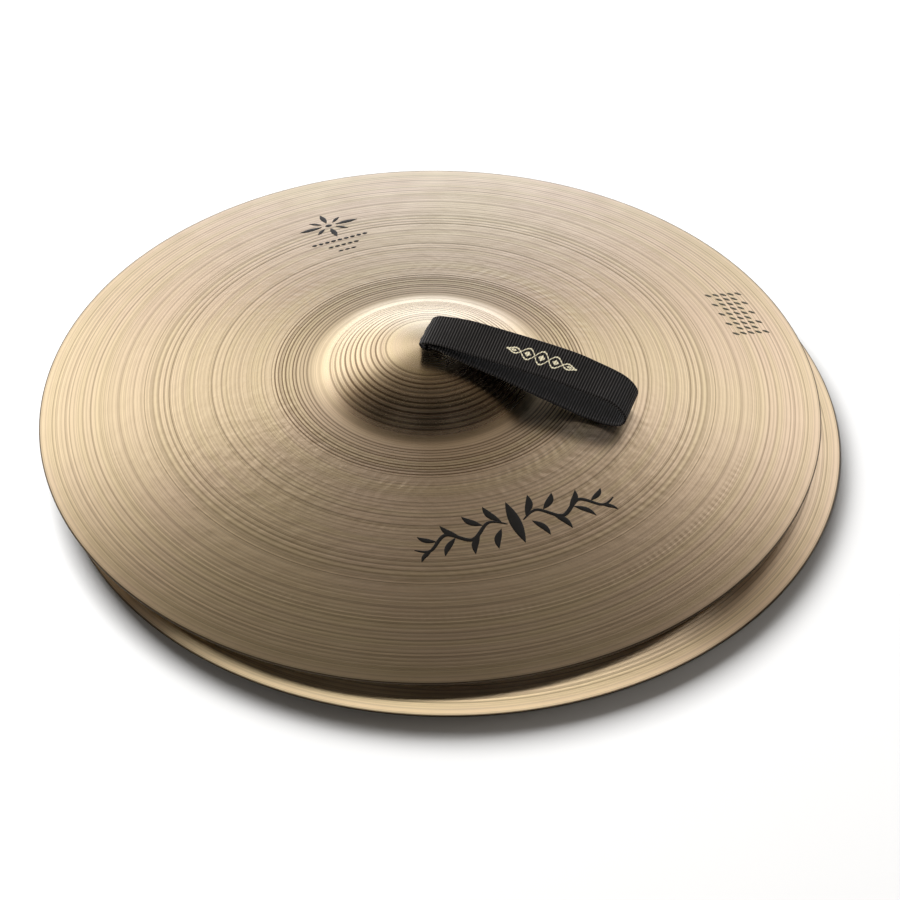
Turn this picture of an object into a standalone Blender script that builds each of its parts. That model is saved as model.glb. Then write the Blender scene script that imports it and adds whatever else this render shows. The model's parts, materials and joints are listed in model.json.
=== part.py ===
"""A pair of orchestral hand cymbals, stacked on a table, each with a webbing hand strap.

The origin is on the table, midway between the two cymbals' axes. +Z is up and +X runs along the
upper cymbal's strap. Each strap is one length of webbing: a loop for the hand outside the bell, a
neck through the bell's hole, and a knot with two cut tails inside the bell.
"""

import math

import bmesh
import bpy
from mathutils import Vector

# Cymbals
CYMBAL_RADIUS = 0.254
BOW_RISE = 0.0315  # crown of the bow over its edge, before the bell is raised from it
BELL_RADIUS = 0.069  # foot of the bell
BELL_RISE = 0.0207  # bell over its foot
BELL_FLARE = 0.005  # depth of the soft flare between bell and bow
FLARE_REACH = 0.009  # half the width of that flare
HOLE_RADIUS = 0.00675
EDGE_THICKNESS = 0.0011
BELL_THICKNESS = 0.0019
RIM_LAND = 0.0012  # flat ring that the edge stands on
RIM_STEP = 0.0006  # from that ring up to the underside
TURN_STEPS = 64
BELL_RINGS = 5
FLARE_RINGS = 5
BOW_RINGS = 6

# Stack
STACK_RAISE = 0.017  # upper cymbal over the lower one
STACK_SHIFT = (0.0152, -0.0052)  # lower cymbal's axis from the upper one's

# Webbing
WEB_WIDTH = 0.027
WEB_THICKNESS = 0.0017
GATHERED_WIDTH = 0.0104  # where the webbing is bunched over the hole
STANDING_GATHER = 0.016  # along the webbing, from bunched to full width
FLAT_GATHER = 0.030  # the same on the lower strap, which passes beside the upper knot
NECK_CLEARANCE = 0.0009
NECK_RISE = 0.0012
NECK_DROP = 0.0006
ROUTE_SUBDIVISIONS = 3

# Knot and tails inside the bell
KNOT_RADIUS = 0.0095
KNOT_HEIGHT = 0.010
KNOT_CLEARANCE = 0.0003
TAIL_WIDTH = 0.024
TAIL_REACH = 0.045  # from the axis to the cut end
TAIL_CLEARANCE = 0.0012
TAIL_ROOT_GAP = 0.0006
TAIL_POINTS = 5
TAIL_TURN = math.radians(75)  # from the strap's direction to the first tail

# Loop ends over the neck
LOOP_END_HALF_GAP = 0.0016
LOOP_END_RISE = 0.0023

# Upper strap's route: distance along the strap and height over the cymbal below, from the loop's
# start over the hole, out along the top run, round the far end and back along the lower run
STANDING_ROUTE = (
    (-0.0024, 0.0060),
    (-0.0016, 0.0096),
    (0.0040, 0.0121),
    (0.0200, 0.0137),
    (0.0430, 0.0172),
    (0.0700, 0.0262),
    (0.0920, 0.0258),
    (0.1070, 0.0238),
    (0.1230, 0.0215),
    (0.1310, 0.0175),
    (0.1348, 0.0115),
    (0.1320, 0.0050),
    (0.1230, 0.0019),
    (0.1080, 0.0020),
    (0.0920, 0.0048),
    (0.0740, 0.0084),
    (0.0520, 0.0060),
    (0.0290, 0.0048),
    (0.0180, 0.0066),
    (0.0090, 0.0086),
    (0.0040, 0.0070),
)

# Lower strap's route, pressed flat under the upper cymbal: shares of the room between the bells
FLAT_REACH = 0.130
FLAT_LOW_SHARE = 0.17
FLAT_HIGH_SHARE = 0.46
FLAT_STATIONS = 9
FLAT_START = 0.014  # where the two runs lie parallel
FLAT_END_BULGE = 0.0045

PIVOT_RISE = 0.0065  # axis that a hand loop swings about, over the bell's top


def bow_height(radius):
    sphere = (CYMBAL_RADIUS**2 + BOW_RISE**2) / (2 * BOW_RISE)
    return EDGE_THICKNESS + BOW_RISE - sphere + math.sqrt(sphere**2 - radius**2)


def bell_height(radius):
    sphere = (BELL_RADIUS**2 + BELL_RISE**2) / (2 * BELL_RISE)
    crown = bow_height(BELL_RADIUS) + BELL_RISE
    return crown - sphere + math.sqrt(max(sphere**2 - radius**2, 0.0))


def outside_height(radius):
    """Height of the cymbal's outside over its edge: the bell runs into the bow in a soft flare."""
    bow = bow_height(radius)
    bell = bell_height(radius)
    mix = max(BELL_FLARE - abs(bow - bell), 0.0) / BELL_FLARE
    return max(bow, bell) + mix**2 * BELL_FLARE / 4


def inside_height(radius):
    share = radius / CYMBAL_RADIUS
    wall = BELL_THICKNESS + (EDGE_THICKNESS - BELL_THICKNESS) * share
    return outside_height(radius) - wall


def evenly(first, last, steps):
    """Values from first up to, but not including, last."""
    return [first + (last - first) * n / steps for n in range(steps)]


def ring_radii():
    flare_start = BELL_RADIUS - FLARE_REACH
    flare_end = BELL_RADIUS + FLARE_REACH
    inner_edge = CYMBAL_RADIUS - RIM_LAND - RIM_STEP
    bell = evenly(HOLE_RADIUS, flare_start, BELL_RINGS)
    flare = evenly(flare_start, flare_end, FLARE_RINGS)
    bow = evenly(flare_end, inner_edge, BOW_RINGS)
    return bell + flare + bow + [inner_edge]


def material(name, color, roughness, metallic):
    made = bpy.data.materials.new(name)
    made.use_nodes = True
    shader = made.node_tree.nodes["Principled BSDF"]
    shader.inputs["Base Color"].default_value = (*color, 1.0)
    shader.inputs["Roughness"].default_value = roughness
    shader.inputs["Metallic"].default_value = metallic
    return made


def add_object(name, mesh, collection, surface, parent):
    made = bpy.data.objects.new(name, mesh)
    collection.objects.link(made)
    mesh.materials.append(surface)
    made.parent = parent
    return made


def turned(name, outline, steps, closed, collection, surface, parent):
    """Turn an outline of (radius, height) points about the parent's Z axis."""
    shape = bmesh.new()
    points = [shape.verts.new((radius, 0.0, height)) for radius, height in outline]
    for first, second in zip(points, points[1:]):
        shape.edges.new((first, second))
    if closed:
        shape.edges.new((points[-1], points[0]))
    mesh = bpy.data.meshes.new(name)
    shape.to_mesh(mesh)
    shape.free()
    made = add_object(name, mesh, collection, surface, parent)
    screw = made.modifiers.new("turn", "SCREW")
    screw.axis = "Z"
    screw.steps = steps
    screw.render_steps = steps
    screw.use_merge_vertices = True
    screw.merge_threshold = 0.00005
    screw.use_smooth_shade = True
    return made


def smooth_route(points):
    """Points along a Catmull-Rom curve through the given ones."""
    padded = [points[0], *points, points[-1]]
    route = []
    for before, start, end, after in zip(padded, padded[1:], padded[2:], padded[3:]):
        for share in evenly(0.0, 1.0, ROUTE_SUBDIVISIONS):
            bend = (2 * before - 5 * start + 4 * end - after) * share**2
            twist = (3 * start - before - 3 * end + after) * share**3
            route.append(start + ((end - before) * share + bend + twist) / 2)
    route.append(points[-1])
    return route


def web_width(run, length, gather):
    """Width of the webbing at a distance along the loop: bunched at both ends."""
    share = min(run, length - run, gather) / gather
    ease = share * share * (3 - 2 * share)
    return GATHERED_WIDTH + (WEB_WIDTH - GATHERED_WIDTH) * ease


def ribbon(name, route, widths, collection, surface, parent):
    """Webbing along a route in the parent's XZ plane, from a row of edges extruded step by step."""
    shape = bmesh.new()
    ends = [shape.verts.new(route[0] + Vector((0.0, side * widths[0] / 2, 0.0))) for side in (-1, 1)]
    row = [shape.edges.new(ends)]
    for place, width in zip(route[1:], widths[1:]):
        grown = bmesh.ops.extrude_edge_only(shape, edges=row)["geom"]
        row = [item for item in grown if isinstance(item, bmesh.types.BMEdge)]
        for corner in (item for item in grown if isinstance(item, bmesh.types.BMVert)):
            side = math.copysign(1.0, corner.co.y)
            corner.co = place + Vector((0.0, side * width / 2, 0.0))
    mesh = bpy.data.meshes.new(name)
    shape.to_mesh(mesh)
    shape.free()
    mesh.shade_smooth()
    made = add_object(name, mesh, collection, surface, parent)
    wall = made.modifiers.new("thickness", "SOLIDIFY")
    wall.thickness = WEB_THICKNESS
    wall.offset = 0.0
    return made


def over_cymbal(along, height):
    """A route point in the strap's frame, whose origin is the top of the bell."""
    surface = outside_height(abs(along)) - outside_height(0.0)
    return Vector((along, 0.0, surface + height))


def standing_route():
    start = Vector((-LOOP_END_HALF_GAP, 0.0, LOOP_END_RISE))
    end = Vector((LOOP_END_HALF_GAP, 0.0, LOOP_END_RISE))
    return [start, *(over_cymbal(*point) for point in STANDING_ROUTE), end]


def flat_route():
    room = STACK_RAISE - BELL_THICKNESS
    low = room * FLAT_LOW_SHARE
    high = room * FLAT_HIGH_SHARE
    middle = (low + high) / 2
    start = Vector((-LOOP_END_HALF_GAP, 0.0, LOOP_END_RISE))
    end = Vector((LOOP_END_HALF_GAP, 0.0, LOOP_END_RISE))
    root_out = [over_cymbal(-LOOP_END_HALF_GAP, middle), over_cymbal(0.002, high)]
    root_back = [over_cymbal(0.0075, middle * 0.85), over_cymbal(0.0035, middle * 0.85)]
    stations = [*evenly(FLAT_START, FLAT_REACH, FLAT_STATIONS), FLAT_REACH]
    top = [over_cymbal(along, high) for along in stations]
    fold = [over_cymbal(FLAT_REACH + FLAT_END_BULGE, middle)]
    bottom = [over_cymbal(along, low) for along in reversed(stations)]
    return [start, *root_out, *top, *fold, *bottom, *root_back, end]


def make_cymbal(prefix, collection, surface, axis):
    radii = ring_radii()
    outline = [(radius, outside_height(radius)) for radius in radii]
    outline.append((CYMBAL_RADIUS, outside_height(CYMBAL_RADIUS)))
    outline.append((CYMBAL_RADIUS, 0.0))
    outline.append((CYMBAL_RADIUS - RIM_LAND, 0.0))
    outline.extend((radius, inside_height(radius)) for radius in reversed(radii))
    return turned(f"{prefix}_cymbal", outline, TURN_STEPS, True, collection, surface, axis)


def make_hand_loop(prefix, points, gather, collection, surface, hole):
    route = smooth_route(points)
    runs = [0.0]
    for first, second in zip(route, route[1:]):
        runs.append(runs[-1] + (second - first).length)
    widths = [web_width(run, runs[-1], gather) for run in runs]
    pivot = Vector((0.0, 0.0, PIVOT_RISE))
    local = [place - pivot for place in route]
    loop = ribbon(f"{prefix}_hand_loop", local, widths, collection, surface, hole)
    loop.location = pivot
    return loop


def make_neck(prefix, collection, surface, hole):
    radius = HOLE_RADIUS - NECK_CLEARANCE
    bottom = -BELL_THICKNESS - NECK_DROP
    outline = [(0.0, NECK_RISE), (radius * 0.8, NECK_RISE), (radius, NECK_RISE * 0.5)]
    outline += [(radius, bottom), (0.0, bottom)]
    return turned(f"{prefix}_strap_neck", outline, 20, False, collection, surface, hole)


def make_knot(prefix, collection, surface, hole):
    shape = bmesh.new()
    bmesh.ops.create_uvsphere(shape, u_segments=16, v_segments=10, radius=1.0)
    size = Vector((KNOT_RADIUS, KNOT_RADIUS, KNOT_HEIGHT / 2))
    bmesh.ops.scale(shape, vec=size, verts=shape.verts)
    mesh = bpy.data.meshes.new(f"{prefix}_strap_knot")
    shape.to_mesh(mesh)
    shape.free()
    mesh.shade_smooth()
    knot = add_object(f"{prefix}_strap_knot", mesh, collection, surface, hole)
    top = -BELL_THICKNESS - NECK_DROP - KNOT_CLEARANCE
    knot.location.z = top - KNOT_HEIGHT / 2
    return knot


def make_tail(name, turn, collection, surface, hole):
    """A cut end of the webbing, from the knot's shoulder out along the inside of the bell."""
    knot_middle = -BELL_THICKNESS - NECK_DROP - KNOT_CLEARANCE - KNOT_HEIGHT / 2
    drop = TAIL_CLEARANCE + WEB_THICKNESS / 2
    underside = inside_height(KNOT_RADIUS) - outside_height(0.0) - drop - WEB_THICKNESS / 2
    share = (underside - knot_middle) / (KNOT_HEIGHT / 2)
    root = KNOT_RADIUS * math.sqrt(max(1.0 - share**2, 0.0)) + TAIL_ROOT_GAP
    reaches = [*evenly(root, TAIL_REACH, TAIL_POINTS), TAIL_REACH]
    route = [
        Vector((reach, 0.0, inside_height(reach) - outside_height(0.0) - drop)) for reach in reaches
    ]
    widths = [min(TAIL_WIDTH, GATHERED_WIDTH + (reach - root)) for reach in reaches]
    tail = ribbon(name, route, widths, collection, surface, hole)
    tail.rotation_euler.z = turn
    return tail


def make_strap(prefix, points, gather, tail_turn, collection, surface, hole):
    make_hand_loop(prefix, points, gather, collection, surface, hole)
    make_neck(prefix, collection, surface, hole)
    make_knot(prefix, collection, surface, hole)
    make_tail(f"{prefix}_tail_left", tail_turn, collection, surface, hole)
    make_tail(f"{prefix}_tail_right", tail_turn + math.pi, collection, surface, hole)


def add_empty(name, collection, parent, location, turn=0.0):
    made = bpy.data.objects.new(name, None)
    collection.objects.link(made)
    made.parent = parent
    made.location = location
    made.rotation_euler.z = turn
    return made


def main():
    for item in list(bpy.data.objects):
        bpy.data.objects.remove(item, do_unlink=True)
    collection = bpy.data.collections.new("hand_cymbals")
    bpy.context.scene.collection.children.link(collection)
    bronze = material("bronze", (0.62, 0.50, 0.33), 0.32, 1.0)
    webbing = material("black_webbing", (0.020, 0.020, 0.022), 0.80, 0.0)

    half_shift = Vector((STACK_SHIFT[0] / 2, STACK_SHIFT[1] / 2, 0.0))
    square_to_shift = math.atan2(STACK_SHIFT[1], STACK_SHIFT[0]) + math.pi / 2
    bell_top = Vector((0.0, 0.0, outside_height(0.0)))
    raised = Vector((0.0, 0.0, STACK_RAISE))

    lower = add_empty("lower_axis", collection, None, half_shift)
    make_cymbal("lower", collection, bronze, lower)
    hole = add_empty("lower_hole", collection, lower, bell_top, square_to_shift)
    make_strap("lower", flat_route(), FLAT_GATHER, TAIL_TURN, collection, webbing, hole)

    upper = add_empty("upper_axis", collection, None, raised - half_shift)
    make_cymbal("upper", collection, bronze, upper)
    hole = add_empty("upper_hole", collection, upper, bell_top)
    make_strap("upper", standing_route(), STANDING_GATHER, TAIL_TURN, collection, webbing, hole)


main()
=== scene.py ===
# Two bronze hand cymbals, stacked bell up, with webbing hand straps
import json
import math

import bmesh
import bpy
from mathutils import Matrix, Vector, noise


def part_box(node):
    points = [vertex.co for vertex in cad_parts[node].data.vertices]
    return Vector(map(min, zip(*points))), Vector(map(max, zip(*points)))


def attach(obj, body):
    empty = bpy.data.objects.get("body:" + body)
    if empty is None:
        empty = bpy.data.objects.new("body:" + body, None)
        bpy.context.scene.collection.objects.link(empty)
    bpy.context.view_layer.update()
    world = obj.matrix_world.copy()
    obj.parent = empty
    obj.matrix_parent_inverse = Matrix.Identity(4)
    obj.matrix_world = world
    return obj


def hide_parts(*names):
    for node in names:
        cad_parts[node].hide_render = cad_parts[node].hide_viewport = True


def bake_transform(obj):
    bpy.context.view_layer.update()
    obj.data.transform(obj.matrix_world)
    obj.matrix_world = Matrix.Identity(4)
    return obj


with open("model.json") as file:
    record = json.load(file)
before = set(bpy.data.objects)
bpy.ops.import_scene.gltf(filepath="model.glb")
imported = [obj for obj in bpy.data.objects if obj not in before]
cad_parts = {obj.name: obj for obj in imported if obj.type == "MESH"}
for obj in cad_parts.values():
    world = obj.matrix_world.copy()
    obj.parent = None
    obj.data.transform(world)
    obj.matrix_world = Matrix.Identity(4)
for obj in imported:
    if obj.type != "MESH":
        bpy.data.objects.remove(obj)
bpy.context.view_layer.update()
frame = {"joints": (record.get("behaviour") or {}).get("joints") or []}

joints = {joint["name"]: joint for joint in frame["joints"]}
print("frame loaded")


def smoothStep(low, high, value):
    share = min(max((value - low) / (high - low), 0.0), 1.0)
    return share * share * (3 - 2 * share)


def blendValue(first, second, share):
    return first + (second - first) * share


def finishMesh(name, form, material, sharpAngle=40):
    mesh = bpy.data.meshes.new(name)
    form.to_mesh(mesh)
    form.free()
    mesh.shade_smooth()
    mesh.set_sharp_from_angle(angle=math.radians(sharpAngle))
    mesh.materials.append(material)
    piece = bpy.data.objects.new(name, mesh)
    bpy.context.scene.collection.objects.link(piece)
    return piece


def mappedGrid(form, along, across, place):
    # a flat grid whose corners run from 0 to 1 both ways, each point moved to place(u, v)
    made = bmesh.ops.create_grid(form, x_segments=along, y_segments=across, size=1.0, calc_uvs=True)
    for corner in made["verts"]:
        corner.co = place((corner.co.x + 1) / 2, (corner.co.y + 1) / 2)


class Wire:
    # a socket that Python's operators turn into Math nodes
    def __init__(self, bench, socket):
        self.bench = bench
        self.socket = socket

    def math(self, operation, *others):
        inputs = dict(enumerate((self, *others)))
        return self.bench.node("ShaderNodeMath", {"operation": operation}, inputs)

    def __add__(self, other):
        return self.math("ADD", other)

    def __sub__(self, other):
        return self.math("SUBTRACT", other)

    def __rsub__(self, other):
        return self.bench.node("ShaderNodeMath", {"operation": "SUBTRACT"}, {0: other, 1: self})

    def __mul__(self, other):
        return self.math("MULTIPLY", other)

    def __truediv__(self, other):
        return self.math("DIVIDE", other)

    def __pow__(self, other):
        return self.math("POWER", other)

    __radd__ = __add__
    __rmul__ = __mul__


class Bench:
    # one node tree and the shader that it feeds
    def __init__(self, owner, shader, settings):
        owner.use_nodes = True
        self.owner = owner
        self.tree = owner.node_tree
        self.shader = self.tree.nodes[shader]
        for socket, value in settings.items():
            self.shade(socket, value)

    def shade(self, socket, value):
        self.feed(self.shader.inputs[socket], value)

    def feed(self, socket, value):
        if isinstance(value, Wire):
            self.tree.links.new(value.socket, socket)
        else:
            socket.default_value = value

    def node(self, kind, settings=None, inputs=None, output=0):
        made = self.tree.nodes.new(kind)
        for key, value in (settings or {}).items():
            if key == "stops":
                self.fillRamp(made.color_ramp, value)
            else:
                setattr(made, key, value)
        for key, value in (inputs or {}).items():
            self.feed(made.inputs[key], value)
        return Wire(self, made.outputs[output])

    def fillRamp(self, ramp, stops):
        while len(ramp.elements) < len(stops):
            ramp.elements.new(0.5)
        for element, (place, color) in zip(ramp.elements, stops):
            element.position = place
            element.color = (*color, 1.0)

    def mix(self, share, first, second):
        inputs = {0: share, 6: first, 7: second}
        return self.node("ShaderNodeMix", {"data_type": "RGBA"}, inputs, 2)

    def coordinate(self, kind="Object"):
        return self.node("ShaderNodeTexCoord", None, None, kind)

    def lines(self, value, scale, seed, detail=2.0):
        # noise along one value only, such as a radius: it draws rings or stripes
        inputs = {"W": value * scale + seed, "Scale": 1.0, "Detail": detail, "Roughness": 0.6}
        return self.node("ShaderNodeTexNoise", {"noise_dimensions": "1D"}, inputs)

    def clouds(self, vector, scale, detail=2.0):
        inputs = {"Vector": vector, "Scale": scale, "Detail": detail, "Roughness": 0.5}
        return self.node("ShaderNodeTexNoise", {"noise_dimensions": "3D"}, inputs)

    def between(self, value, low, high):
        # 0 at low, 1 at high, eased and clamped
        settings = {"interpolation_type": "SMOOTHSTEP"}
        inputs = {0: value, 1: low, 2: high, 3: 0.0, 4: 1.0}
        return self.node("ShaderNodeMapRange", settings, inputs)

    def bump(self, height, distance):
        inputs = {"Height": height, "Distance": distance, "Strength": 1.0}
        return self.node("ShaderNodeBump", None, inputs)


def rgba(red, green, blue):
    return (red, green, blue, 1.0)


def surface(name, settings):
    return Bench(bpy.data.materials.new(name), "Principled BSDF", settings)


cymbal = {
    "edgeWall": 0.0011,
    "bellWall": 0.0019,
    "bowRise": 0.0315,
    "bellRadius": 0.069,
    "bellRise": 0.0207,
    "flare": 0.005,
    "hole": 0.00675,
    "rimRound": 0.0004,
    "rimLand": 0.0012,
    "rimStep": 0.0006,
    "outsideStep": 0.00085,
    "insideStep": 0.0034,
    "turns": 240,
    # turned grooves: first and last radius, pitch, depth, how dark, and whether they are cut
    # into the mesh or only drawn in the material
    "grooves": (
        (0.025, 0.067, 0.0033, 0.000100, 0.90, True),
        (0.077, 0.104, 0.0023, 0.000045, 1.00, False),
        (0.104, 0.163, 0.0029, 0.000030, 0.20, False),
        (0.163, 0.189, 0.0037, 0.000110, 0.46, True),
        (0.189, 0.251, 0.0028, 0.000040, 0.26, False),
    ),
    "grooveFade": 0.004,
}


def baseCentre(node):
    low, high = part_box(node)
    return Vector(((low.x + high.x) / 2, (low.y + high.y) / 2, low.z))


upperBase = baseCentre("upper_cymbal")
lowerBase = baseCentre("lower_cymbal")
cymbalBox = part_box("upper_cymbal")
cymbal["radius"] = (cymbalBox[1].x - cymbalBox[0].x) / 2


def bowHeight(radius):
    sphere = (cymbal["radius"] ** 2 + cymbal["bowRise"] ** 2) / (2 * cymbal["bowRise"])
    return cymbal["edgeWall"] + cymbal["bowRise"] - sphere + math.sqrt(sphere**2 - radius**2)


def bellHeight(radius):
    sphere = (cymbal["bellRadius"] ** 2 + cymbal["bellRise"] ** 2) / (2 * cymbal["bellRise"])
    crown = bowHeight(cymbal["bellRadius"]) + cymbal["bellRise"]
    return crown - sphere + math.sqrt(max(sphere**2 - radius**2, 0.0))


def outsideHeight(radius):
    bow = bowHeight(radius)
    bell = bellHeight(radius)
    mix = max(cymbal["flare"] - abs(bow - bell), 0.0) / cymbal["flare"]
    return max(bow, bell) + mix**2 * cymbal["flare"] / 4


def insideHeight(radius):
    wall = blendValue(cymbal["bellWall"], cymbal["edgeWall"], radius / cymbal["radius"])
    return outsideHeight(radius) - wall


def grooveDepth(radius):
    fade = cymbal["grooveFade"]
    depth = 0.0
    for first, last, pitch, deep, _, cut in cymbal["grooves"]:
        if cut:
            inside = smoothStep(first, first + fade, radius) * smoothStep(last, last - fade, radius)
            vary = 0.8 + 0.8 * noise.noise(Vector((radius * 260, 9.1, 0)))
            depth += inside * deep * vary * (0.5 - 0.5 * math.cos(math.tau * radius / pitch))
    return depth


def stepped(first, last, step):
    count = max(round(abs(last - first) / step), 1)
    return [first + (last - first) * n / count for n in range(count)]


def cymbalProfile():
    radius = cymbal["radius"]
    innerEdge = radius - cymbal["rimLand"] - cymbal["rimStep"]
    rounding = cymbal["rimRound"]
    stations = stepped(cymbal["hole"], radius - rounding, cymbal["outsideStep"])
    profile = [(r, outsideHeight(r) - grooveDepth(r)) for r in stations]
    top = outsideHeight(radius - rounding) - rounding
    for n in range(5):  # the rolled edge
        turn = math.radians(90 - 45 * n)
        height = top if n < 3 else rounding
        reach = radius - rounding + rounding * math.cos(turn)
        profile.append((reach, height + rounding * math.sin(turn)))
    profile.append((radius - cymbal["rimLand"], 0.0))
    stations = stepped(innerEdge, cymbal["hole"], cymbal["insideStep"])
    profile += [(r, insideHeight(r)) for r in stations]
    profile.append((cymbal["hole"], insideHeight(cymbal["hole"])))
    return profile


def turnCymbal(name, base, material):
    form = bmesh.new()
    ring = [form.verts.new(base + Vector((r, 0, height))) for r, height in cymbalProfile()]
    edges = [form.edges.new((first, second)) for first, second in zip(ring, ring[1:] + ring[:1])]
    bmesh.ops.spin(
        form, geom=ring + edges, cent=base, axis=(0, 0, 1), dvec=(0, 0, 0),
        angle=math.tau, steps=cymbal["turns"], use_merge=True, use_duplicate=False,
    )
    bmesh.ops.recalc_face_normals(form, faces=form.faces)
    return finishMesh(name, form, material, 50)


bronzeLook = {
    "gold": rgba(0.80, 0.66, 0.46),
    "rose": rgba(0.80, 0.64, 0.48),
    "straw": rgba(0.77, 0.65, 0.42),
    "sootAndShade": rgba(0.16, 0.10, 0.055),
    "edge": rgba(0.06, 0.045, 0.03),
    "strawShare": 0.45,
    "lineShade": 0.32,
    "darkest": 0.85,
    "underside": 0.55,
    "paintedEdgeShade": 0.92,
    "roughness": 0.35,
    "bellPolish": 0.08,
    "anisotropic": 0.85,
    "coat": 0.10,
    "coatRoughness": 0.18,
    "relief": 0.0001,
    "bellEdge": (0.062, 0.080),
    # rows of hammer marks: radius, half width, marks round the ring, how far they lean, depth
    "hammerRows": (
        (0.110, 0.0050, 96, 420, 0.9),
        (0.121, 0.0034, 101, -350, 0.7),
        (0.144, 0.0030, 131, 260, 0.5),
        (0.178, 0.0034, 150, -240, 0.4),
        (0.209, 0.0030, 260, 200, 0.4),
    ),
}


def bronze(name, axis):
    look = bronzeLook
    settings = {"Metallic": 1.0, "Anisotropic": look["anisotropic"], "Anisotropic Rotation": 0.25}
    bench = surface(name, settings)
    place = bench.coordinate()
    centred = bench.node("ShaderNodeMapping", None, {"Vector": place, "Location": tuple(-axis)})
    x = bench.node("ShaderNodeSeparateXYZ", None, {0: centred}, 0)
    y = bench.node("ShaderNodeSeparateXYZ", None, {0: centred}, 1)
    radius = (x * x + y * y) ** 0.5
    angle = y.math("ARCTAN2", x)

    # lathe lines at three pitches, and slow changes from place to place
    fine = bench.lines(radius, scale=1100, seed=3.1)
    middle = bench.lines(radius, scale=430, seed=11.7)
    broad = bench.lines(radius, scale=90, seed=5.3, detail=1.0)
    patches = bench.clouds(centred, scale=6.0)
    mottle = bench.clouds(centred, scale=60.0, detail=3.0)
    outside = bench.between(radius, *look["bellEdge"])  # 0 on the bell, 1 on the bow

    # turned grooves: dark in the bottom, with uneven strength from one to the next
    uneven = bench.lines(radius, scale=170, seed=21.3, detail=1.0) * 1.7 - 0.05
    fade = cymbal["grooveFade"]
    grime = 0.0
    height = (fine * 0.10 + middle * 0.26) * (outside * 0.85 + 0.15)
    for first, last, pitch, deep, dark, cut in cymbal["grooves"]:
        inside = bench.between(radius, first, first + fade)
        inside = inside * bench.between(radius, last, last - fade)
        wave = (radius * (math.tau / pitch)).math("COSINE")
        bottom = bench.between(wave, 0.1, -0.9) * inside
        grime = grime + bottom * uneven * dark
        if not cut:
            height = height + wave * inside * (deep / look["relief"] / 2) * uneven
    shade = look["lineShade"]
    lines = bench.between(middle, 0.50, 0.74) * shade + bench.between(fine, 0.48, 0.74) * shade
    lines = lines * (bench.between(radius, 0.022, 0.026) * 0.35 + outside * 0.50 + 0.15)

    warm = bench.mix(bench.between(patches, 0.40, 0.60), look["gold"], look["rose"])
    warm = bench.mix(bench.between(broad, 0.42, 0.70) * look["strawShare"], warm, look["straw"])
    warm = bench.mix((grime + lines).math("MINIMUM", look["darkest"]), warm, look["sootAndShade"])
    # painted shade: surfaces that face down are darkened towards a dark brown
    down = bench.node("ShaderNodeSeparateXYZ", None, {0: bench.coordinate("Normal")}, 2)
    warm = bench.mix(bench.between(down, -0.1, -0.5) * look["underside"], warm, look["sootAndShade"])
    # painted shade: the outer edge of the rim is darkened to near black, standing in for the dark
    # edge wall
    rimStart = cymbal["radius"] - cymbal["edgeWall"]
    rim = bench.between(radius, rimStart, cymbal["radius"] - cymbal["rimRound"])
    bench.shade("Base Color", bench.mix(rim * look["paintedEdgeShade"], warm, look["edge"]))
    smooth = look["roughness"] + (outside - 1.0) * look["bellPolish"]
    bench.shade("Roughness", smooth + (middle - 0.5) * 0.12 + (mottle - 0.5) * 0.08)

    # hammering: rows of marks, and an irregular beaten sheet between them
    bearing = {0: angle.math("COSINE"), 1: angle.math("SINE")}
    compass = bench.node("ShaderNodeCombineXYZ", None, bearing)
    spokes = bench.node("ShaderNodeVectorMath", {"operation": "SCALE"}, {0: compass, "Scale": 15.0})
    ring = bench.node("ShaderNodeCombineXYZ", None, {2: radius * 130.0})
    beaten = bench.node("ShaderNodeVectorMath", {"operation": "ADD"}, {0: spokes, 1: ring})
    zone = bench.between(radius, 0.080, 0.098) * (1.0 - bench.between(radius, 0.150, 0.225) * 0.6)
    height = height + bench.clouds(beaten, scale=1.0) * zone * 3.0
    here = bench.between(bench.clouds(centred, scale=14.0, detail=1.0), 0.42, 0.62)
    for row, half, count, lean, deep in look["hammerRows"]:
        away = (radius - row) / half
        inRow = (away * away * -1.0).math("EXPONENT")
        mark = (angle * count + radius * lean).math("SINE")
        height = height + inRow * mark * here * (deep * 0.50)
    bench.shade("Normal", bench.bump(height, look["relief"]))
    bench.shade("Coat Weight", look["coat"])
    bench.shade("Coat Roughness", look["coatRoughness"])
    return bench.owner


for prefix, base in (("upper", upperBase), ("lower", lowerBase)):
    piece = turnCymbal(prefix + "CymbalTurned", base, bronze(prefix + "Bronze", base))
    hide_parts(prefix + "_cymbal")
    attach(piece, prefix + "_cymbal")
print("cymbals turned")


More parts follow.
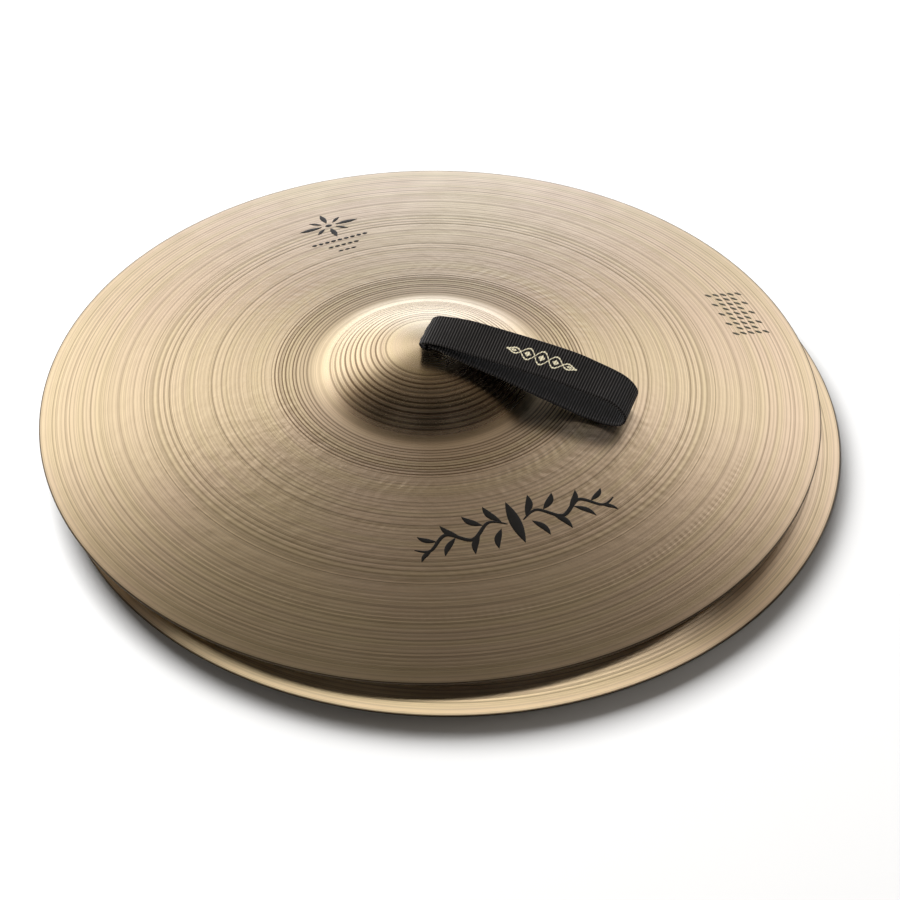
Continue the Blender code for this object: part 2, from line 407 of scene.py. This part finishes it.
# hand straps: ribbed webbing swept along a route, in the strap's own frame
web = {
    "width": 0.027,
    "half": 0.00085,
    "ribDepth": 0.00034,
    "ribPitch": 0.00177,
    "stepsPerRib": 7,
    "around": 50,
    "gathered": 0.0050,
    "pleat": 0.0031,
    "seamDepth": 0.00012,
    "endTaper": 0.0004,
    "threadPitch": 0.00090,
    "threadDepth": 0.00004,
}
strap = {
    "endGap": 0.0016,
    "endRise": 0.0023,
    "neckFoot": -0.0062,
    "neckMiddle": -0.002,
    # along the strap, height over the bronze below
    "standing": (
        (-0.0024, 0.0060), (-0.0016, 0.0096), (0.0040, 0.0121), (0.0200, 0.0137), (0.0430, 0.0172),
        (0.0700, 0.0262), (0.0920, 0.0258), (0.1070, 0.0238), (0.1230, 0.0215), (0.1310, 0.0175),
        (0.1348, 0.0115), (0.1320, 0.0050), (0.1230, 0.0019), (0.1080, 0.0020), (0.0920, 0.0048),
        (0.0740, 0.0084), (0.0520, 0.0060), (0.0290, 0.0048), (0.0180, 0.0066), (0.0090, 0.0086),
        (0.0040, 0.0070),
    ),
    "standingGather": 0.0085,
    "topLean": 6,
    # how far the standing loop wanders sideways, for its reach and its reach squared
    "wander": (0.035, 0.22),
    "flatLow": 0.00257,
    "flatMiddle": 0.00476,
    "flatHigh": 0.00695,
    "flatStart": 0.014,
    "flatReach": 0.130,
    "flatBulge": 0.0045,
    "flatGather": 0.030,
    # where the neck would start and stop bending as the loop swings; the points are only carried
    # into place and not used
    "standingBend": ((0, 0, 0.0008), (0.003, 0, 0.0075)),
    "flatBend": ((0, 0, -0.0005), (0.005, 0, 0.0045)),
}
knot = {
    "top": -0.0028,
    "height": 0.010,
    "radius": 0.0095,
    "ring": 0.0049,
    "band": 0.0062,
    "pleat": 0.0004,
    "thin": 0.9,
    "stop": 0.995,
    "steps": 460,
    "patternStart": 0.5,
}
tail = {
    "turn": 75,
    "width": 0.024,
    "root": 0.0060,
    "reach": 0.045,
    "drop": 0.00205,
    "gather": 0.020,
    "pleat": -0.0022,
    "patternStart": 0.7,
}


def overCymbal(along, height):
    return Vector((along, 0, outsideHeight(abs(along)) - outsideHeight(0) + height))


def smoothRoute(points, step):
    # a Catmull-Rom curve through the points, then evenly spaced along its length
    padded = [points[0], *points, points[-1]]
    cuts = 24
    dense = []
    for before, start, end, after in zip(padded, padded[1:], padded[2:], padded[3:]):
        for n in range(cuts):
            t = n / cuts
            bend = (2 * before - 5 * start + 4 * end - after) * t**2
            twist = (3 * start - before - 3 * end + after) * t**3
            dense.append(start + ((end - before) * t + bend + twist) / 2)
    dense.append(points[-1])
    total = sum((b - a).length for a, b in zip(dense, dense[1:]))
    count = round(total / step)
    even = []
    place = 0
    run = 0.0
    for n in range(count + 1):
        goal = total * n / count
        while place < len(dense) - 2 and run + (dense[place + 1] - dense[place]).length < goal:
            run += (dense[place + 1] - dense[place]).length
            place += 1
        piece = dense[place + 1] - dense[place]
        even.append(dense[place] + piece * min((goal - run) / max(piece.length, 1e-9), 1.0))
    return even, total


def bandOutline(v):
    # once round the webbing: across from -1 to 1, side from -1 to 1, and how square to the face
    # it is; each face takes 0.44 of the way round, and each edge 0.06
    if v < 0.44 or 0.5 <= v < 0.94:
        under = v >= 0.5
        x = ((v - 0.5 if under else v) - 0.22) / 0.22
        across = x * (1.25 - 0.25 * x * x)
        return (-across, -1.0, 1.0) if under else (across, 1.0, 1.0)
    turn = math.pi * ((v - 0.44) / 0.06 if v < 0.5 else (v - 0.94) / 0.06)
    flip = 1.0 if v < 0.5 else -1.0
    return flip * (1 + 0.06 * math.sin(turn)), flip * math.cos(turn), 0.0


def sweepBand(form, centres, outward, halves, pleats, length, firstRun=0.0, thin=1.0):
    # webbing laid along the centres; its UV map runs along and across it, in metres
    count = len(centres) - 1
    layer = form.loops.layers.uv.verify()
    sides = []
    for n in range(count + 1):
        along = centres[min(n + 1, count)] - centres[max(n - 1, 0)]
        sides.append(outward[n].cross(along).normalized())

    def place(u, v):
        n = round(u * count)
        run = length * u
        across, side, flat = bandOutline(v)
        out = abs(across)
        rib = (0.5 + 0.5 * math.cos(math.tau * run / web["ribPitch"])) ** 0.8
        seam = smoothStep(0.80, 0.87, out) * smoothStep(0.97, 0.90, out)
        thick = web["half"] - web["ribDepth"] * (1 - rib) * (1 - 0.6 * smoothStep(0.9, 1.0, out))
        thick -= web["seamDepth"] * seam * flat
        taper = web["endTaper"]
        thick *= thin * smoothStep(0, taper, run) * smoothStep(0, taper, length - run)
        fold = pleats[n] * (0.5 - 0.5 * math.cos(math.tau * min(max(across, -1.0), 1.0)))
        return centres[n] + outward[n] * (fold + side * thick) + sides[n] * (across * halves[n])

    mappedGrid(form, count, web["around"], place)
    for face in form.faces:
        middle = sum(corner[layer].uv.y for corner in face.loops) / len(face.loops)
        under = 0.2 if 0.47 < middle < 0.97 else 0.0
        for corner in face.loops:
            u, v = corner[layer].uv
            across = bandOutline(min(v, 0.99999))[0]
            corner[layer].uv = (firstRun + u * length, across * web["width"] / 2 + under)


def closeBand(form):
    bmesh.ops.remove_doubles(form, verts=form.verts, dist=0.000002)
    bmesh.ops.recalc_face_normals(form, faces=form.faces)


def planarOutward(centres):
    last = len(centres) - 1
    found = []
    for n in range(last + 1):
        along = (centres[min(n + 1, last)] - centres[max(n - 1, 0)]).normalized()
        found.append(Vector((-along.z, 0, along.x)))
    return found


def loopPoints(standing):
    heights = (strap["neckFoot"], strap["neckMiddle"], strap["endRise"])
    start = [Vector((-strap["endGap"], 0, height)) for height in heights]
    if standing:
        middle = [overCymbal(*point) for point in strap["standing"]]
    else:
        low, mid, high = strap["flatLow"], strap["flatMiddle"], strap["flatHigh"]
        reach = strap["flatReach"]
        stations = [strap["flatStart"] + (reach - strap["flatStart"]) * n / 9 for n in range(10)]
        middle = [overCymbal(-strap["endGap"], mid), overCymbal(0.002, high)]
        middle += [overCymbal(along, high) for along in stations]
        middle.append(overCymbal(reach + strap["flatBulge"], mid))
        middle += [overCymbal(along, low) for along in reversed(stations)]
        middle += [overCymbal(0.0075, mid * 0.85), overCymbal(0.0035, mid * 0.85)]
    end = [Vector((-point.x, 0, point.z)) for point in reversed(start)]
    return start + middle + end


def makeLoop(name, standing, material):
    centres, length = smoothRoute(loopPoints(standing), web["ribPitch"] / web["stepsPerRib"])
    outward = planarOutward(centres)
    neck = strap["endRise"] - strap["neckFoot"]
    gather = strap["standingGather"] if standing else strap["flatGather"]
    halves = []
    pleats = []
    count = len(centres) - 1
    for n, centre in enumerate(centres):
        run = length * n / count
        full = smoothStep(0, gather, min(run, length - run) - neck)
        halves.append(blendValue(web["gathered"], web["width"] / 2, full))
        pleats.append(web["pleat"] * (1 - full) ** 1.3)
        if standing:
            # the top run leans to the front and wanders a little
            onTop = smoothStep(0.020, 0.050, run) * smoothStep(0.150, 0.115, run)
            lean = math.radians(strap["topLean"]) * onTop
            outward[n] = (outward[n] + Vector((0, -math.tan(lean), 0))).normalized()
            out = max(centre.x, 0.0)
            slope, curl = strap["wander"]
            centres[n] = centre + Vector((0, out * slope - out * out * curl, 0))
    form = bmesh.new()
    sweepBand(form, centres, outward, halves, pleats, length)
    closeBand(form)
    return finishMesh(name, form, material, 60)


def makeKnot(name, material):
    # a tight over-and-under knot: one band wound twice round the axis and three times through
    middle = knot["top"] - knot["height"] / 2
    rise = knot["height"] / 2 - web["half"]
    reach = knot["radius"] - web["half"] - knot["ring"]
    centres = []
    outward = []
    for n in range(knot["steps"] + 1):
        share = knot["stop"] * n / knot["steps"]
        turn = math.tau * 2 * share
        roll = math.tau * 3 * share
        spoke = Vector((math.cos(turn), math.sin(turn), 0))
        up = Vector((0, 0, math.sin(roll)))
        level = spoke * (knot["ring"] + reach * math.cos(roll))
        centres.append(level + up * rise + Vector((0, 0, middle)))
        outward.append((spoke * math.cos(roll) * rise + up * reach).normalized())
    length = sum((b - a).length for a, b in zip(centres, centres[1:]))
    form = bmesh.new()
    widths = [knot["band"] / 2] * len(centres)
    pleats = [knot["pleat"]] * len(centres)
    start = knot["patternStart"]
    sweepBand(form, centres, outward, widths, pleats, length, start, knot["thin"])
    closeBand(form)
    return finishMesh(name, form, material, 60)


def makeTail(name, turn, material):
    points = []
    for n in range(9):
        reach = blendValue(tail["root"], tail["reach"], n / 8)
        height = insideHeight(reach) - outsideHeight(0) - tail["drop"]
        points.append(Vector((reach, 0, height)))
    centres, length = smoothRoute(points, web["ribPitch"] / web["stepsPerRib"])
    outward = planarOutward(centres)
    widths = []
    pleats = []
    for centre in centres:
        full = smoothStep(tail["root"], tail["root"] + tail["gather"], centre.x)
        widths.append(blendValue(web["gathered"], tail["width"] / 2, full))
        pleats.append(tail["pleat"] * (1 - full) ** 1.3)
    form = bmesh.new()
    sweepBand(form, centres, outward, widths, pleats, length, tail["patternStart"])
    closeBand(form)
    spun = Matrix.Rotation(turn, 3, "Z")
    bmesh.ops.rotate(form, verts=form.verts, cent=(0, 0, 0), matrix=spun)
    return finishMesh(name, form, material, 60)


webbingLook = {
    "thread": rgba(0.0025, 0.0024, 0.0025),
    "paintedRibHighlight": rgba(0.115, 0.106, 0.104),
    "print": rgba(0.98, 0.93, 0.72),
    "printPaintedShade": rgba(0.74, 0.66, 0.44),
    "printMiddle": 0.0935,
    "printReach": 0.0235,
    "printHalf": 0.0058,
    "printPitch": 0.0094,
    "printLine": 0.0007,
    "printLozenge": 0.0026,
}


def webbing():
    look = webbingLook
    bench = surface("blackWebbing", {"Specular IOR Level": 0.12})
    run = bench.node("ShaderNodeSeparateXYZ", None, {0: bench.coordinate("UV")}, 0)
    across = bench.node("ShaderNodeSeparateXYZ", None, {0: bench.coordinate("UV")}, 1)
    rib = (run * (math.tau / web["ribPitch"])).math("COSINE") * 0.5 + 0.5
    thread = (across * (math.tau / web["threadPitch"])).math("SINE") * 0.5 + 0.5
    fibre = bench.clouds(bench.coordinate(), scale=2600.0)
    wear = bench.clouds(bench.coordinate(), scale=90.0, detail=3.0)

    # painted highlight: the rib crests are painted lighter than the valleys, varied by thread and
    # wear noise
    paintedRibHighlight = rib ** 3.5 * (thread * 0.5 + 0.5) * (wear * 0.9 + 0.35)
    cloth = bench.mix(paintedRibHighlight, look["thread"], look["paintedRibHighlight"])

    # printed ornament: two crossing waves with a lozenge in each eye
    pitch = look["printPitch"]
    away = run - look["printMiddle"]
    share = (away / look["printReach"]).math("ABSOLUTE")
    room = (1.0 - share * share).math("MAXIMUM", 0.0) * look["printHalf"]
    wave = (away * (math.pi / pitch)).math("COSINE") * room
    upWave = 1.0 - (across - wave).math("ABSOLUTE") / look["printLine"]
    downWave = 1.0 - (across + wave).math("ABSOLUTE") / look["printLine"]
    eye = (away / pitch).math("PINGPONG", 0.5) * (pitch / look["printLozenge"])
    lozenge = 1.0 - (eye + across.math("ABSOLUTE") / (room * 0.5 + 0.0002))
    drawn = upWave.math("MAXIMUM", downWave).math("MAXIMUM", lozenge)
    printed = bench.between(drawn, 0.0, 0.25) * bench.between(share, 1.02, 0.98)
    # painted highlight and shade: the print is lighter on the rib crests and darker in the valleys
    ink = bench.mix(rib * 0.75 + 0.25, look["printPaintedShade"], look["print"])
    bench.shade("Base Color", bench.mix(printed, cloth, ink))
    bench.shade("Roughness", 0.62 - rib * 0.14 + (wear - 0.5) * 0.2)
    height = thread * (rib * 0.6 + 0.4) + fibre * 0.35
    bench.shade("Normal", bench.bump(height, web["threadDepth"]))
    return bench.owner


webbingMaterial = webbing()
for prefix, base, standing in (("upper", upperBase, True), ("lower", lowerBase, False)):
    axis = Vector(joints[prefix + "_strap_swing"]["axis"])
    spot = Matrix.Translation(base + Vector((0, 0, outsideHeight(0))))
    spot = spot @ Matrix.Rotation(math.atan2(axis.x, -axis.y), 4, "Z")
    still = "upper_strap" if standing else "lower_cymbal"
    turning = prefix + "_loop"

    piece = makeLoop(prefix + "HandStrap", standing, webbingMaterial)
    piece.data.transform(spot)
    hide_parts(prefix + "_hand_loop", prefix + "_strap_neck")
    bend = strap["standingBend" if standing else "flatBend"]
    low, high = (spot @ Vector(point) for point in bend)
    tuple(low)
    tuple(high)
    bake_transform(piece)

    piece = makeKnot(prefix + "StrapKnotWound", webbingMaterial)
    piece.data.transform(spot)
    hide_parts(prefix + "_strap_knot")
    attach(piece, still)

    for side, more in (("left", 0), ("right", 180)):
        turn = math.radians(tail["turn"] + more)
        piece = makeTail(prefix + "TailRibbed" + side.title(), turn, webbingMaterial)
        piece.data.transform(spot)
        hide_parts(prefix + "_tail_" + side)
        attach(piece, still)
print("straps swept")


# printed marks: plain ornament, laid on the bronze
marks = {
    "proud": 0.00016,
    "sunk": 0.00018,
    "thickness": 0.0003,
    "lowerTwist": 150,
    "ink": rgba(0.010, 0.009, 0.008),
    "fadedInk": rgba(0.24, 0.23, 0.17),
    # bearing round the cymbal and radius of each mark's middle, and whether its top points inwards
    "sprig": {"bearing": 310, "radius": 0.147, "inward": True},
    "rosette": {"bearing": 131.5, "radius": 0.172, "inward": False},
    "stamp": {"bearing": 40.5, "radius": 0.221, "inward": False},
}


def stroke(form, points, width, place, taper):
    # one brush stroke in millimetres, thin at both ends, hugging the bronze
    step = max(0.35, width * 0.16)
    line = smoothRoute([Vector((x, y, 0)) for x, y in points], step)[0]
    last = len(line) - 1

    def spot(u, v):
        n = round(u * last)
        along = (line[min(n + 1, last)] - line[max(n - 1, 0)]).normalized()
        full = max(math.sin(math.pi * min(max(u, 0.0), 1.0)), 0.0) ** taper
        across = (v - 0.5) * width * full
        point = line[n] + Vector((-along.y, along.x, 0)) * across
        return place(point.x / 1000, point.y / 1000, abs(2 * v - 1) ** 5)

    mappedGrid(form, last, 6, spot)


def markPlace(spec, base, twist):
    turn = math.radians(spec["bearing"] + twist)
    outwards = Vector((math.cos(turn), math.sin(turn), 0))
    across = Vector((-math.sin(turn), math.cos(turn), 0))
    flip = -1 if spec["inward"] else 1

    def place(x, y, edge):
        point = outwards * (spec["radius"] + flip * y) - across * flip * x
        lift = blendValue(marks["proud"], -marks["sunk"], edge)
        return base + point + Vector((0, 0, outsideHeight(point.length) + lift))

    return place


def sprigStrokes(form, place):
    stroke(form, [(0, -17), (0, 17)], 9.5, place, 0.9)
    for side in (-1, 1):
        stem = [(5, 0), (16, 5), (30, -4), (44, 5), (57, -3), (66, 1)]
        stroke(form, [(side * x, y) for x, y in stem], 3.4, place, 0.35)
        leaves = (
            (8, 3, 15, 18, 6.0), (10, -2, 17, -16, 5.4), (20, 4, 30, 15, 5.6),
            (24, -1, 32, -15, 5.4), (36, 0, 45, 13, 5.2), (39, 1, 50, -10, 4.8),
            (51, 2, 61, 10, 4.4), (55, -2, 65, -9, 3.8),
        )
        for x, y, farX, farY, width in leaves:
            leaf = ((x, y), ((x + farX) / 2 + 1.8, (y + farY) / 2), (farX, farY))
            stroke(form, [(side * across, up) for across, up in leaf], width, place, 0.9)


def rosetteStrokes(form, place):
    for n in range(8):
        turn = math.tau * n / 8
        near, far, width = (4.0, 17.0, 4.8) if n % 2 == 0 else (4.5, 12.5, 3.4)
        cos, sin = math.cos(turn), math.sin(turn)
        ends = [(reach * cos * 1.25, 12 + reach * sin) for reach in (near, far)]
        stroke(form, ends, width, place, 0.9)
    stroke(form, [(-2.4, 12), (2.4, 12)], 4.4, place, 0.5)
    for height, count, size in ((-10, 9, 3.4), (-17.5, 5, 3.0), (-24.5, 3, 2.4)):
        for n in range(count):
            x = (n - (count - 1) / 2) * 4.6
            stroke(form, [(x - 1.9, height), (x + 1.9, height)], size, place, 0.8)


def stampStrokes(form, place):
    for row in range(5):
        for column in range(9):
            if (row + column) % 2 and row in (0, 4):
                continue
            x = (column - 4) * 5.4
            y = (row - 2) * 5.6
            stroke(form, [(x - 1.5, y - 2.0), (x + 1.5, y + 2.0)], 3.0, place, 0.6)


def inkSurface(name, color, rough):
    bench = surface(name, {"Specular IOR Level": 0.35})
    grain = bench.clouds(bench.coordinate(), scale=900.0, detail=3.0)
    paler = bench.mix(0.35, color, bronzeLook["sootAndShade"])
    bench.shade("Base Color", bench.mix(bench.between(grain, 0.62, 0.75), color, paler))
    bench.shade("Roughness", rough + (grain - 0.5) * 0.2)
    bench.shade("Normal", bench.bump(grain, 0.00002))
    return bench.owner


ink = inkSurface("markInk", marks["ink"], 0.55)
fadedInk = inkSurface("fadedMarkInk", marks["fadedInk"], 0.65)
drawings = (
    ("sprig", sprigStrokes, ink),
    ("rosette", rosetteStrokes, ink),
    ("stamp", stampStrokes, fadedInk),
)
for prefix, base, twist in (("upper", upperBase, 0), ("lower", lowerBase, marks["lowerTwist"])):
    for kind, draw, finish in drawings:
        form = bmesh.new()
        form.loops.layers.uv.verify()
        draw(form, markPlace(marks[kind], base, twist))
        bmesh.ops.remove_doubles(form, verts=form.verts, dist=0.000001)
        for face in form.faces:
            if face.normal.z < 0:
                face.normal_flip()
        piece = finishMesh(prefix + "Mark" + kind.title(), form, finish, 60)
        film = piece.modifiers.new("film", "SOLIDIFY")
        film.thickness = marks["thickness"]
        film.offset = -1
        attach(piece, prefix + "_cymbal")
print("marks printed")


studio = {
    "floor": 6.0,
    "floorShade": 0.50,
    # round from the low back (0) over the top (0.5) to the low front (1)
    "sky": (
        (0.00, (2.40, 2.60, 3.00)),
        (0.08, (2.10, 2.25, 2.55)),
        (0.17, (0.38, 0.36, 0.35)),
        (0.28, (0.45, 0.38, 0.28)),
        (0.35, (0.18, 0.14, 0.10)),
        (0.44, (0.012, 0.009, 0.006)),
        (0.62, (0.003, 0.003, 0.003)),
        (0.74, (0.030, 0.026, 0.020)),
        (0.85, (0.060, 0.054, 0.045)),
        (0.94, (0.220, 0.210, 0.190)),
        (1.00, (0.700, 0.700, 0.680)),
    ),
    "leftGlow": (1.60, 1.53, 1.44),
    "rightGlow": (1.40, 1.35, 1.30),
    "frontGlow": 0.33,
    "camera": {
        "place": (0.4869, -1.3944, 1.2958),
        "turn": 19.0,
        "tilt": 41.68,
        "roll": -0.296,
        "lens": 120.0,
        "sensor": 36.0,
    },
    # bearing to the left of the line of sight, elevation, distance, width, height, radiance,
    # colour, and the one thing that it lights
    "lights": {
        "floorKey": (28, 28, 6.0, 3.0, 1.5, 106.0, (1.00, 1.00, 1.00), "floor"),
        "lowerRimGlow": (180, 84, 2.6, 5.0, 0.5, 7.0, (1.00, 0.95, 0.85), "lowerCymbalTurned"),
        "strapKey": (84, 50, 2.6, 0.8, 0.8, 25.0, (1.00, 0.98, 0.95), "upperHandStrap"),
    },
}


def makeFloor():
    form = bmesh.new()
    bmesh.ops.create_grid(form, x_segments=1, y_segments=1, size=studio["floor"])
    shade = studio["floorShade"]
    bench = surface("paleFloor", {"Base Color": rgba(shade, shade, shade), "Roughness": 0.9})
    floor = finishMesh("floor", form, bench.owner)


def makeLight(name, bearing, elevation, distance, width, height, radiance, color, only):
    data = bpy.data.lights.new(name, "AREA")
    data.shape = "RECTANGLE"
    data.size = width
    data.size_y = height
    data.energy = radiance * math.pi * width * height
    data.color = color
    lamp = bpy.data.objects.new(name, data)
    bpy.context.scene.collection.objects.link(lamp)
    turn = math.radians(90 + studio["camera"]["turn"] + bearing)
    rise = math.radians(elevation)
    level = math.cos(rise)
    toward = Vector((level * math.cos(turn), level * math.sin(turn), math.sin(rise)))
    lamp.location = distance * toward
    lamp.rotation_euler = (-lamp.location).to_track_quat("-Z", "Y").to_euler()
    receivers = bpy.data.collections.new(name)
    receivers.objects.link(bpy.data.objects[only])
    lamp.light_linking.receiver_collection = receivers


def makeCamera():
    view = studio["camera"]
    data = bpy.data.cameras.new("camera")
    data.lens = view["lens"]
    data.sensor_width = view["sensor"]
    data.clip_end = 50.0
    camera = bpy.data.objects.new("camera", data)
    bpy.context.scene.collection.objects.link(camera)
    turn = Matrix.Rotation(math.radians(view["turn"]), 4, "Z")
    tilt = Matrix.Rotation(math.radians(90 - view["tilt"]), 4, "X")
    roll = Matrix.Rotation(math.radians(view["roll"]), 4, "Z")
    camera.matrix_world = Matrix.Translation(view["place"]) @ turn @ tilt @ roll
    bpy.context.scene.camera = camera


def makeWorld():
    # a dim warm room, light behind the cymbals and dark overhead and in front
    world = bpy.data.worlds.new("studio")
    bench = Bench(world, "Background", {"Strength": 1.0})
    turn = math.radians(studio["camera"]["turn"])
    ahead = (-math.sin(turn), math.cos(turn), 0)
    direction = bench.coordinate("Generated")
    dot = {"operation": "DOT_PRODUCT"}
    forward = bench.node("ShaderNodeVectorMath", dot, {0: direction, 1: ahead}, "Value")
    upward = bench.node("ShaderNodeVectorMath", dot, {0: direction, 1: (0, 0, 1)}, "Value")
    arc = upward.math("ARCTAN2", forward) / math.pi
    sky = bench.node("ShaderNodeValToRGB", {"stops": studio["sky"]}, {0: arc})
    right = (math.cos(turn), math.sin(turn), 0)
    sideways = bench.node("ShaderNodeVectorMath", dot, {0: direction, 1: right}, "Value")
    glow = bench.between(sideways.math("ABSOLUTE"), 0.0, 0.36) * bench.between(upward, 0.96, 0.68)
    front = bench.between(forward, -0.38, -0.74) * studio["frontGlow"]
    glow = glow * (bench.between(forward, 0.38, 0.74) + front)
    toRight = bench.between(sideways, -0.2, 0.2)
    sides = bench.mix(toRight, rgba(*studio["leftGlow"]), rgba(*studio["rightGlow"]))
    bench.shade("Color", bench.mix(glow, sky, sides))
    bpy.context.scene.world = world


makeFloor()
makeWorld()
for name, light in studio["lights"].items():
    makeLight(name, *light)
makeCamera()
bpy.context.scene.view_settings.view_transform = "Standard"
print("studio ready")
